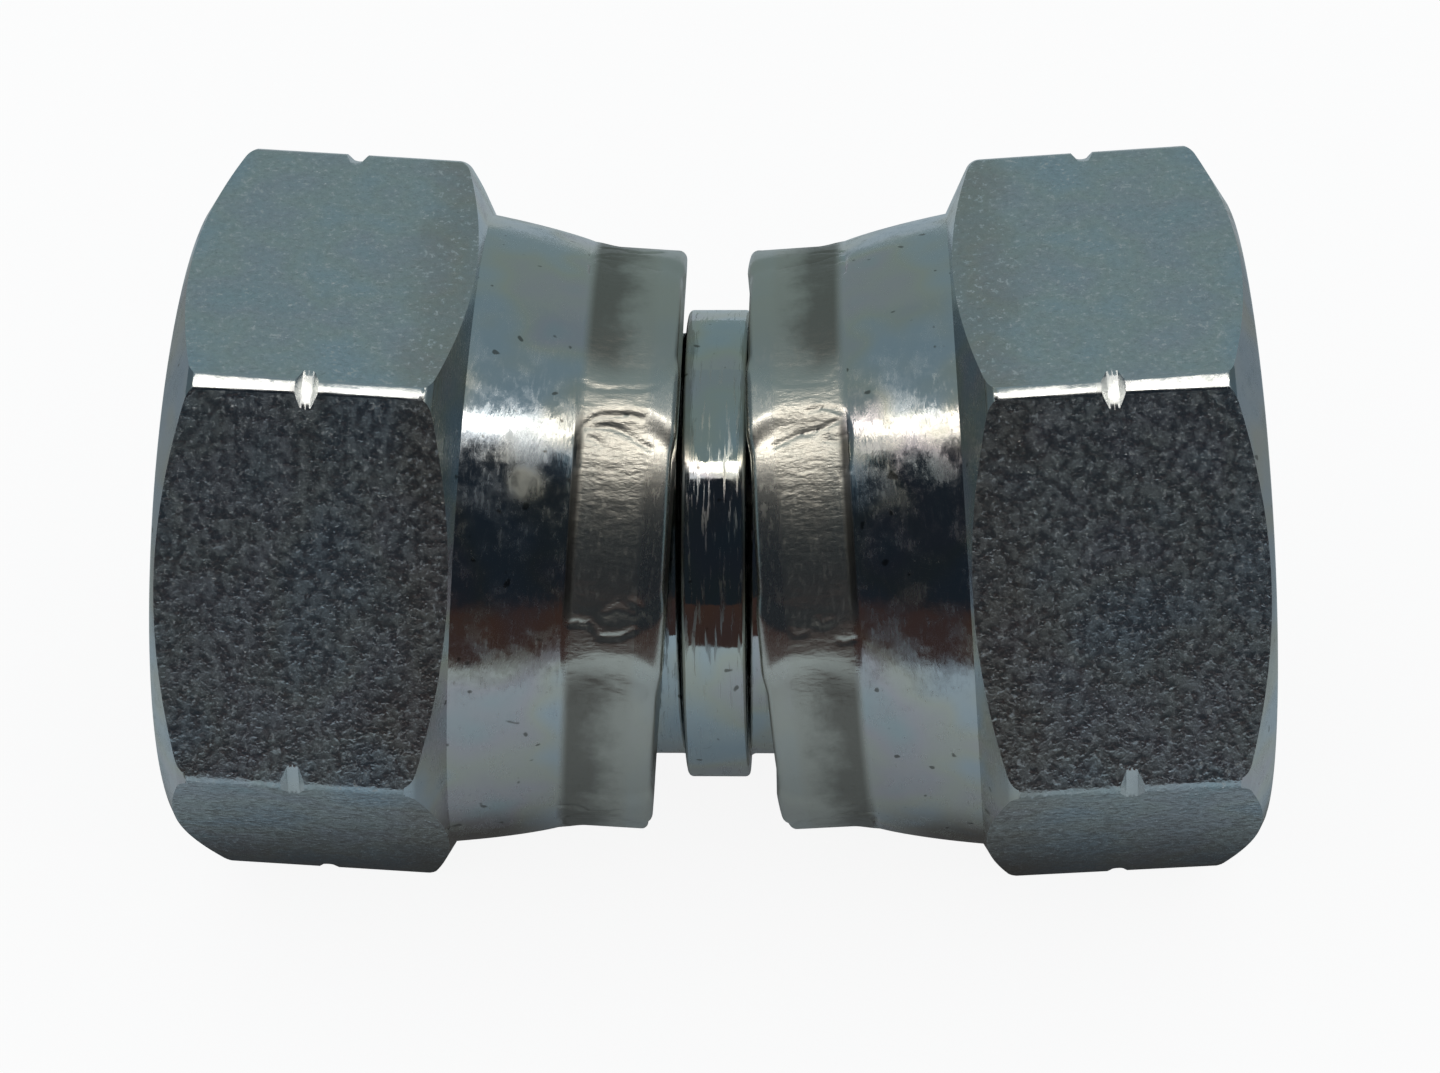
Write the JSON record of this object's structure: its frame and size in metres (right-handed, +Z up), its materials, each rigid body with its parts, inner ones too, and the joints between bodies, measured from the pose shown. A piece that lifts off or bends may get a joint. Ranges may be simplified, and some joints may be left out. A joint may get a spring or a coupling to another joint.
{
  "type": "hydraulic adapter",
  "caption": "Straight hydraulic adapter: a short turned tube with a crimped, freely turning hexagon swivel nut over each coned end.",
  "frame": {"origin": "on the floor midway between the two ends, under the body's axis", "axes": "+X along the body towards the right nut, +Z up, +Y away from the picture's viewer"},
  "size_m": [0.0456, 0.031, 0.0278],
  "materials": {
    "zinc_plated_steel": "zinc-plated steel with a pale blue passivate"
  },
  "bodies": {
    "body": {"body": "zinc_plated_steel"},
    "left_nut": {"left_nut": "zinc_plated_steel"},
    "right_nut": {"right_nut": "zinc_plated_steel"}
  },
  "joints": [
    {"name": "left_nut_swivel", "type": "hinge", "parent": "body", "child": "left_nut", "pos_m": [-0.00368, 0, 0.0129], "axis": [-0.9966, 0, 0.0819], "continuous": true},
    {"name": "right_nut_swivel", "type": "hinge", "parent": "body", "child": "right_nut", "pos_m": [0.00368, 0, 0.0129], "axis": [0.9966, 0, 0.0819], "continuous": true}
  ]
}
